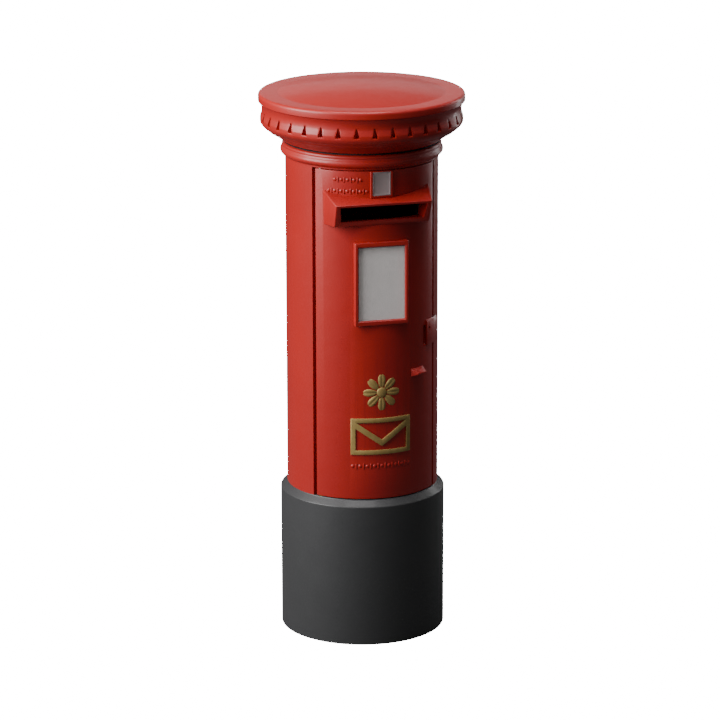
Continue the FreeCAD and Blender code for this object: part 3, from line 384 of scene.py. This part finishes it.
sphere = (DOME_EDGE ** 2 + DOME_RISE ** 2) / (2 * DOME_RISE)
crest = RIM_TOP + DOME_RISE
reach = [DOME_EDGE * k / 16 for k in range(16, -1, -1)]
outer_dome = [(r, crest - sphere + math.sqrt(sphere ** 2 - r ** 2), 2.5 if r == DOME_EDGE else 0) for r in reach]
inner_dome = [(r, crest - sphere + math.sqrt((sphere - SKIN) ** 2 - r ** 2), 0) for r in reversed(reach)]
mouldings = [(217, ROOF, 0), (217, ROOF + 3, 0.5), (230, ROOF + 4.5, 1)] + bow(
    (232, ROOF + 6), (248, ROOF + 18), (268, ROOF + 30))[1:] + [
    (270, ROOF + 33, 0.8)] + bow((270.3, ROOF + 33.4), (284, ROOF + 43), (291, ROOF + 54)) + [
    (291, ROOF + 64, 0)] + bow((291, ROOF + 65), (289.5, ROOF + 71), (287, ROOF + 79)) + bow(
    (286.6, ROOF + 80), (286, ROOF + 92), (288, ROOF + 102)) + [
    (292, ROOF + 111, 2), (RIM, ROOF + 113.5, 1.5), (RIM, RIM_TOP, 8.6)]
inside = [(262, ROOF + 116, 3), (262, ROOF + 60, 3), (242, ROOF + 40, 3), (214, ROOF + 22, 1), (174, ROOF + 22, 1),
          (174, ROOF, 1)]
roof = lathe("roof_crown_ring", rounded(mouldings + outer_dome + inner_dome + inside), step=1.25)
foot, head = ROOF + 58.5, ROOF + 86.5
notch = prism("notch_tool",
              [(-9.2, NOTCH_OUT, foot), (9.2, NOTCH_OUT, foot), (-7, -275, foot), (7, -275, foot)],
              [(-4, NOTCH_OUT, head), (4, NOTCH_OUT, head), (-2.4, -285, head), (2.4, -285, head)])
soften(notch, 1.2, angle=40, segments=2)
notches = []
for k in range(NOTCHES):
    copy = notch.copy()
    copy.data = notch.data.copy()
    bpy.context.collection.objects.link(copy)
    notches.append(turn(copy, NOTCH_FIRST + 360 * k / NOTCHES))
bpy.data.objects.remove(notch)


def join(name, pieces):
    """Make one object of several."""
    fresh()
    for piece in pieces:
        piece.select_set(True)
    bpy.context.view_layer.objects.active = pieces[0]
    bpy.ops.object.join()
    pieces[0].name = name
    return pieces[0]


combine(roof, join("notch_tools", notches))
soften(roof, 0.9, angle=40, segments=2)
finish(roof, red_enamel, "pillar", "pillar_box_red", "roof_casting")

# ---- Door ----
# One curved iron casting with a thick rim, hung on pins at its left edge. The hood, its mouth, the notice frame
# and the relief rows are cast with it; the paint softens every edge and closes the corners a little.
DOOR_HALF = 51.4
DOOR_LOW = 440
DOOR_HIGH = 1405
HEEL = 11
LOCK_AT = 43.5
LOCK_HIGH = 906
KEY_HIGH = 922
HOOD_LOW = 1251
HOOD_HIGH = 1318
NOTICE_LOW = 957
NOTICE_HIGH = 1200
HINGE = (-156.475, -138.988)
FACE_IN = -156.1


def block(name, x, y, z):
    """Plain block from its ranges in millimetres."""
    return prism(name, [(a, b, z[0]) for b in y for a in x], [(a, b, z[1]) for b in y for a in x])


def relief_row(height, start, end, count):
    """Cast row of alternate beads and reels, low and soft."""
    pieces = []
    for k in range(count):
        bearing = start + (end - start) * k / (count - 1)
        if k % 2:
            piece = block("reel", (-2.1, 2.1), (-BODY - 1.7, -BODY + 3), (height - 8, height + 8))
            soften(piece, 1.4, angle=60, segments=3)
        else:
            fresh()
            bpy.ops.mesh.primitive_uv_sphere_add(segments=24, ring_count=12, radius=0.007)
            piece = bpy.context.active_object
            piece.data.transform(Matrix.Translation((0, (-BODY + 4.7) / 1000, height / 1000)))
        pieces.append(turn(piece, bearing))
    return pieces


door = sector("door_leaf", 198, BODY, DOOR_LOW, DOOR_HIGH, -DOOR_HALF, DOOR_HALF)
combine(door, sector("door_hollow", 150, SHELL_IN, DOOR_LOW + 22, DOOR_HIGH - 22, -45.03, 45.03))
heel = block("heel_corner", (-5, HEEL), (-BODY + HEEL, -190), (DOOR_LOW - 5, DOOR_HIGH + 5))
combine(heel, rod("heel_round", HEEL, (HEEL, -BODY + HEEL, DOOR_LOW - 9), DOOR_HIGH - DOOR_LOW + 20,
                  lying=False, sides=48))
combine(door, turn(heel, -DOOR_HALF))
soften(door, 4.0, angle=40, segments=3)
hood = prism("hood", [(-138.5, -222, HOOD_LOW), (138.5, -222, HOOD_LOW),
                      (-153, FACE_IN, HOOD_LOW - 5), (153, FACE_IN, HOOD_LOW - 5)],
             [(-140, -251, HOOD_HIGH), (140, -251, HOOD_HIGH),
              (-155, FACE_IN, HOOD_HIGH + 28.5), (155, FACE_IN, HOOD_HIGH + 28.5)])
soften(hood, 2.6, angle=25, segments=3)
combine(hood, rod("hood_inside", SHELL_IN, (0, 0, 1200), 200, lying=False, sides=240))
combine(door, hood, "UNION")
frame_bar = block("notice_frame", (-78.5, 78.5), (-225, -182), (NOTICE_LOW, NOTICE_HIGH))
soften(frame_bar, 2.2, angle=40, segments=3)
combine(door, frame_bar, "UNION")
pad = block("lock_pad", (-54, 22), (-208, -196), (LOCK_HIGH - 49, LOCK_HIGH + 49))
soften(pad, 1.5, angle=40)
combine(door, turn(pad, LOCK_AT), "UNION")
plaque = block("tablet_frame", (-33, 33), (-222.6, -208), (1329, 1404.5))
soften(plaque, 1.6, angle=40)
combine(door, plaque, "UNION")
mouth = prism("mouth", [(-121, -257, 1267.6), (121, -257, 1267.6), (-121, -141, 1259), (121, -141, 1259)],
              [(-127, -257, 1309.2), (127, -257, 1309.2), (-127, -141, 1337.4), (127, -141, 1337.4)])
window = block("window", (-67.5, 67.5), (-226, -218), (NOTICE_LOW + 15, NOTICE_HIGH - 15))
chamfer = prism("window_slope",
                [(-72, -226, NOTICE_LOW + 10.5), (72, -226, NOTICE_LOW + 10.5), (-67.5, -221, NOTICE_LOW + 15),
                 (67.5, -221, NOTICE_LOW + 15)],
                [(-72, -226, NOTICE_HIGH - 10.5), (72, -226, NOTICE_HIGH - 10.5), (-67.5, -221, NOTICE_HIGH - 15),
                 (67.5, -221, NOTICE_HIGH - 15)])
rebate = block("rebate", (-71.5, 71.5), (-220, -146), (NOTICE_LOW + 11, NOTICE_HIGH - 11))
pocket = block("tablet_pocket", (-27, 27), (-225, -219.5), (1334, 1403))
soften(pocket, 1.0, angle=40, segments=2)
keyhole = turn(rod("keyhole", 6.5, (4, -190, KEY_HIGH), 35), LOCK_AT)
recess = sector("finger_recess", 211, 226, LOCK_HIGH - 32, LOCK_HIGH + 28, 38.0, 42.4)
soften(recess, 1.5, angle=40)
for tool in (mouth, window, chamfer, rebate, pocket, keyhole, recess):
    combine(door, tool)
for height in (DOOR_LOW - 1, DOOR_HIGH - 30):
    combine(door, rod("hinge_bore", 8, (*HINGE, height), 31, lying=False))
beads_and_reels = relief_row(1380, -35, -15.5, 9) + relief_row(1347, -40, -11, 13) + relief_row(538, -22, 22, 17)
combine(door, join("relief", beads_and_reels), "UNION")
finish(door, red_enamel, "door", "pillar_box_red", "door_casting")

# ---- Lock block and pull ----
# Two small castings bolted to the door and painted with it: the low block that laps the jamb over the lock, and a
# wedge with a sloped top to pull the door by.
PULL_AT = 31.2
PULL_HIGH = 803

lock_block = sector("lock_cover", 219.5, 225, LOCK_HIGH - 33, LOCK_HIGH + 41, 41.4, JAMB + 5)
combine(lock_block, lathe("rain_slope", [(225.2, LOCK_HIGH + 33), (221, LOCK_HIGH + 41), (221, LOCK_HIGH + 45),
                                         (240, LOCK_HIGH + 45), (240, LOCK_HIGH + 33)], 40, 22))
soften(lock_block, 1.6, angle=30, segments=3)
combine(lock_block, sector("lap", 215, 221.5, LOCK_HIGH - 36, LOCK_HIGH + 44, 51.0, 62))
combine(lock_block, turn(rod("key_bore", 4.5, (4, -215, KEY_HIGH), 15), LOCK_AT))
finish(lock_block, red_enamel, "door", "pillar_box_red", "lock_cover_block")

pull = prism("door_wedge", [(-17.3, -240, PULL_HIGH - 4), (17.3, -240, PULL_HIGH - 4), (-26, -215.5, PULL_HIGH - 13),
                            (26, -215.5, PULL_HIGH - 13)],
             [(-17.3, -240, PULL_HIGH), (17.3, -240, PULL_HIGH), (-26, -215.5, PULL_HIGH + 14),
              (26, -215.5, PULL_HIGH + 14)])
soften(pull, 1.6, angle=30, segments=3)
fresh()
bpy.ops.mesh.primitive_cylinder_add(vertices=48, radius=0.011, depth=0.0312, rotation=(0, math.radians(90), 0),
                                    location=(0, -0.231, (PULL_HIGH - 15) / 1000))
grip = bpy.context.active_object
bpy.ops.object.transform_apply(location=True, rotation=True, scale=True)
combine(pull, grip)
combine(pull, rod("door_round", 219.5, (0, 0, PULL_HIGH - 40), 80, lying=False, sides=240))
for across in (-12, 12):
    combine(pull, rod("stud", 4, (across, -192, PULL_HIGH), 31), "UNION")
finish(turn(pull, PULL_AT), red_enamel, "door", "pillar_box_red", "door_pull")

# ---- Gilded ornaments ----
# Low relief cast with the door and picked out in gold paint by brush: a round rosette of eight petals with a
# domed boss, over the open outline of a letter.
ORNAMENT_LOW = 573
LETTER_HIGH = 681
LETTER_HALF = 88
LETTER_LINE = 13
RELIEF = (-223.6, -218.5)
ROSETTE_R = 56
PETALS = 8
ROSETTE_MIDDLE = LETTER_HIGH + 20 + ROSETTE_R


def wrap(piece):
    """Lay a flat relief round the door: its depth stands out of the door's face, its width runs round it."""
    for point in piece.data.vertices:
        radius = -point.co.y
        turned_by = math.asin(max(-0.99, min(0.99, point.co.x / radius)))
        point.co.x, point.co.y = radius * math.sin(turned_by), -radius * math.cos(turned_by)
    return piece


def slices(piece, across, step=4):
    """Cut a flat relief into upright strips so that it can follow the curve."""
    pick(piece)
    bpy.ops.object.mode_set(mode="EDIT")
    for x in range(-across, across + 1, step):
        bpy.ops.mesh.select_all(action="SELECT")
        bpy.ops.mesh.bisect(plane_co=(x / 1000, 0, 0), plane_no=(1, 0, 0))
    bpy.ops.object.mode_set(mode="OBJECT")


def petal(turned_by):
    """One petal: a long dome squeezed flat, with its vein pressed along the middle."""
    fresh()
    bpy.ops.mesh.primitive_uv_sphere_add(segments=32, ring_count=16, radius=0.001)
    piece = bpy.context.active_object
    for point in piece.data.vertices:
        along = point.co.z * 1000
        side = point.co.x * 1000
        high = abs(point.co.y * 1000) * 4.6 * (1 - 0.45 * math.exp(-(side / 0.28) ** 2))
        outer = 1.0 if point.co.y < 0 else 0.15
        point.co = Vector((side * 11.3 * (1 + 0.18 * along), -BODY - high * outer * 0.86 + 1.0,
                           34 + along * 21)) / 1000
    piece.data.transform(Matrix.Translation((0, 0, ROSETTE_MIDDLE / 1000))
                         @ Matrix.Rotation(math.radians(turned_by), 4, "Y"))
    return piece


def gold_paint():
    """Gold size paint over the cast relief: a soft metallic sheen, worn a little duller in patches."""
    material, tree, shader, place = new_material("brushed_gold_paint")
    worn = add_node(tree, "ShaderNodeTexNoise", values={"Scale": waves(14), "Detail": 4.0}, links={"Vector": place})
    tone = add_node(tree, "ShaderNodeMix", {"data_type": "RGBA"}, values={6: srgb("#9C8146"), 7: srgb("#BFA468")},
                    links={0: worn.outputs["Fac"]})
    tree.links.new(tone.outputs[2], shader.inputs["Base Color"])
    grain = add_node(tree, "ShaderNodeTexNoise", values={"Scale": waves(1.5), "Detail": 2.0}, links={"Vector": place})
    bump = add_node(tree, "ShaderNodeBump", values={"Strength": 0.25, "Distance": 0.0004},
                    links={"Height": grain.outputs["Fac"]})
    tree.links.new(bump.outputs[0], shader.inputs["Normal"])
    shader.inputs["Metallic"].default_value = 0.45
    shader.inputs["Roughness"].default_value = 0.5
    return material


gold = gold_paint()
petals = [petal(360 / PETALS * k) for k in range(PETALS)]
fresh()
bpy.ops.mesh.primitive_uv_sphere_add(segments=48, ring_count=24, radius=0.001)
boss = bpy.context.active_object
for point in boss.data.vertices:
    point.co = Vector((point.co.x * 15000, point.co.y * 4600 - BODY + 0.6, point.co.z * 15000 + ROSETTE_MIDDLE)) / 1000
rosette = wrap(join("rosette", petals + [boss]))
finish(rosette, gold, "door", "gilding", "emblem_rosette")

letter = block("letter_outline", (-LETTER_HALF, LETTER_HALF), RELIEF, (ORNAMENT_LOW, LETTER_HIGH))
combine(letter, block("letter_inside", (LETTER_LINE - LETTER_HALF, LETTER_HALF - LETTER_LINE), (-230, -210),
                      (ORNAMENT_LOW + LETTER_LINE, LETTER_HIGH - LETTER_LINE)))
for side in (-1, 1):
    left, right = sorted((side * 84, 0))
    ends = {side * 84: LETTER_HIGH - 5, 0: ORNAMENT_LOW + 44}
    flap = prism("flap", [(x, y, ends[x] - 19.5) for y in RELIEF for x in (left, right)],
                 [(x, y, ends[x]) for y in RELIEF for x in (left, right)])
    combine(letter, flap, "UNION")
soften(letter, 1.3, angle=40, segments=2)
slices(letter, LETTER_HALF)
finish(wrap(letter), gold, "door", "gilding", "emblem_envelope")

# ---- Tablet, notice and pane ----
# A pressed tablet painted pale grey with a raised border, and a blank paper card behind a clear sheet, both held in
# the door's frame by a back plate. The tablet is blank too.
def plain(name, colour, shade, roughness, size=40, coat=0.0):
    """Thin painted or paper sheet with slight uneven ageing."""
    material, tree, shader, place = new_material(name)
    patches = add_node(tree, "ShaderNodeTexNoise", values={"Scale": waves(size), "Detail": 4.0},
                       links={"Vector": place})
    tint = add_node(tree, "ShaderNodeMix", {"data_type": "RGBA"}, values={6: srgb(colour), 7: srgb(shade)},
                    links={0: patches.outputs["Fac"]})
    tree.links.new(tint.outputs[2], shader.inputs["Base Color"])
    shader.inputs["Roughness"].default_value = roughness
    shader.inputs["Coat Weight"].default_value = coat
    return material


tablet_paint = plain("tablet_pale_grey_stove_enamel", "#A79A98", "#94888A", 0.4, coat=0.3)
card_paper = plain("notice_card_matt_paper", "#F4EEEC", "#E8E1DF", 0.75, size=60)
tablet = block("tablet", (-26.6, 26.6), (-221.9, -219.7), (1334.4, 1402.6))
pick(tablet)
bpy.ops.object.mode_set(mode="EDIT")
bpy.ops.mesh.select_mode(type="FACE")
bpy.ops.mesh.select_all(action="DESELECT")
bpy.ops.object.mode_set(mode="OBJECT")
for face in tablet.data.polygons:
    face.select = face.normal.y < -0.9
bpy.ops.object.mode_set(mode="EDIT")
bpy.ops.mesh.inset(thickness=0.0035, depth=0)
bpy.ops.mesh.inset(thickness=0.0008, depth=-0.0009)
bpy.ops.object.mode_set(mode="OBJECT")
soften(tablet, 0.4, angle=40, segments=2)
finish(tablet, tablet_paint, "door", "tablet_enamel", "collection_tablet")


def acrylic():
    """Clear acrylic sheet, lightly weathered: a gloss skin over a nearly clear body."""
    material, tree, shader, place = new_material("notice_pane_clear_acrylic")
    haze = add_node(tree, "ShaderNodeTexNoise", values={"Scale": waves(50), "Detail": 4.0}, links={"Vector": place})
    rough = add_node(tree, "ShaderNodeMapRange", values={"To Min": 0.05, "To Max": 0.16},
                     links={"Value": haze.outputs["Fac"]})
    tree.links.new(rough.outputs[0], shader.inputs["Roughness"])
    shader.inputs["Base Color"].default_value = srgb("#F7F5F4")
    shader.inputs["Alpha"].default_value = 0.12
    shader.inputs["IOR"].default_value = 1.49
    return material


pane = acrylic()
sheet = block("notice_pane", (-70.6, 70.6), (-219.9, -217.3), (NOTICE_LOW + 12, NOTICE_HIGH - 12))
finish(sheet, pane, "door", "clear_pane", "notice_pane")

# ---- Carried-over pieces ----
# Bolts, guides, guard, chute, lock and seal keep their design shapes and take the finish that their material slot
# names: galvanised steel, lock brass, roof mastic, or a paint of the pieces above.
def galvanised():
    """Zinc-galvanised steel of the guard, chute and fasteners: grey crystals of some millimetres, a dull sheen."""
    material, tree, shader, place = new_material("hot_dip_galvanised_steel")
    spangle = add_node(tree, "ShaderNodeTexVoronoi", values={"Scale": waves(9)}, links={"Vector": place})
    tone = add_node(tree, "ShaderNodeMix", {"data_type": "RGBA"}, values={6: srgb("#8D9193"), 7: srgb("#B4B8BA")},
                    links={0: spangle.outputs["Color"]})
    tree.links.new(tone.outputs[2], shader.inputs["Base Color"])
    gloss = add_node(tree, "ShaderNodeMapRange", values={"To Min": 0.38, "To Max": 0.58},
                     links={"Value": spangle.outputs["Color"]})
    tree.links.new(gloss.outputs[0], shader.inputs["Roughness"])
    shader.inputs["Metallic"].default_value = 1.0
    return material


def lock_brass():
    """Machined lock brass: fine turning lines and a slightly tarnished yellow."""
    material, tree, shader, place = new_material("machined_lock_brass")
    stretch = add_node(tree, "ShaderNodeMapping", values={"Scale": (1, 1, 14)}, links={"Vector": place})
    lines = add_node(tree, "ShaderNodeTexNoise", values={"Scale": waves(6), "Detail": 4.0},
                     links={"Vector": stretch.outputs[0]})
    tone = add_node(tree, "ShaderNodeMix", {"data_type": "RGBA"}, values={6: srgb("#B08D4B"), 7: srgb("#C9A866")},
                    links={0: lines.outputs["Fac"]})
    tree.links.new(tone.outputs[2], shader.inputs["Base Color"])
    bump = add_node(tree, "ShaderNodeBump", values={"Strength": 0.2, "Distance": 0.0002},
                    links={"Height": lines.outputs["Fac"]})
    tree.links.new(bump.outputs[0], shader.inputs["Normal"])
    shader.inputs["Metallic"].default_value = 1.0
    shader.inputs["Roughness"].default_value = 0.32
    return material


zinc = galvanised()
brass = lock_brass()
mastic = plain("roof_joint_black_mastic", "#1C1B1B", "#262525", 0.7, size=15)
finishes = {"pillar_box_red": red_enamel, "plinth_grey": grey_enamel, "gilding": gold, "zinc_steel": zinc,
            "lock_brass": brass, "tablet_enamel": tablet_paint, "clear_pane": pane, "notice_paper": card_paper,
            "roof_mastic": mastic}
for row in frame["record"]["subparts"]:
    data = frame["nodes"][row["node"]].data
    data.materials.clear()
    data.materials.append(finishes[row["material_slot"]])
